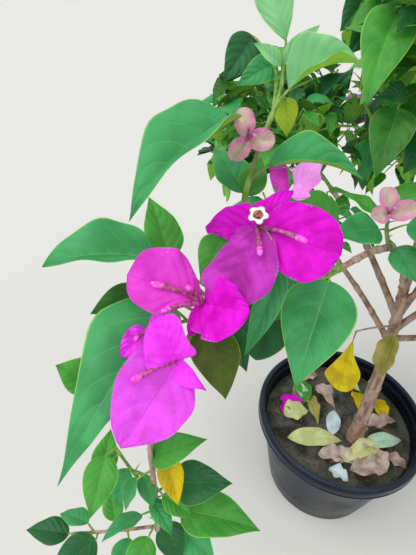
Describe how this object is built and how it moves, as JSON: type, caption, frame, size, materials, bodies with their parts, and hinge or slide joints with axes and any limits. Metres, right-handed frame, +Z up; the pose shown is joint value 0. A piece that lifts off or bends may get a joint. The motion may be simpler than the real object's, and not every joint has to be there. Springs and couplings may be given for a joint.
{
  "type": "potted bougainvillea bush",
  "caption": "Potted shrub with one trunk, spreading boughs, broad-leaved crown and an arching cane with bright papery bracts, in a round rimmed nursery pot.",
  "frame": {"origin": "centre of the pot's flat underside, where it stands on the ground", "axes": "+Z up, +X to the right and +Y away, seen from the side of the arching flowering cane"},
  "size_m": [0.7207, 0.68, 0.8993],
  "materials": {
    "pot": "dark moulded polypropylene, dusty, semi-matte",
    "soil": "dry loamy potting mix",
    "bark": "grey-brown young bark",
    "foliage": "soft green leaves with slight gloss",
    "young_leaf": "light yellow-green new leaves",
    "yellow_leaf": "ageing yellow leaves",
    "bract": "papery magenta bracts",
    "flower": "small cream tube flowers",
    "dry_leaf": "dry fallen leaves"
  },
  "bodies": {
    "root": {"pot": "pot", "soil": "soil", "trunk": "bark", "leader": "bark", "front_bough": "bark", "front_cane": "bark", "front_upper_bough": "bark", "front_right_bough": "bark", "right_bough": "bark", "back_right_bough": "bark", "back_bough": "bark", "back_left_bough": "bark", "left_bough": "bark", "flowering_spray": "foliage", "drooping_spray": "foliage", "side_spray": "foliage", "top_foliage": "foliage", "front_foliage": "foliage", "front_right_foliage": "foliage", "right_foliage": "foliage", "back_right_foliage": "foliage", "back_foliage": "foliage", "back_left_foliage": "foliage", "left_foliage": "foliage"}
  },
  "joints": []
}
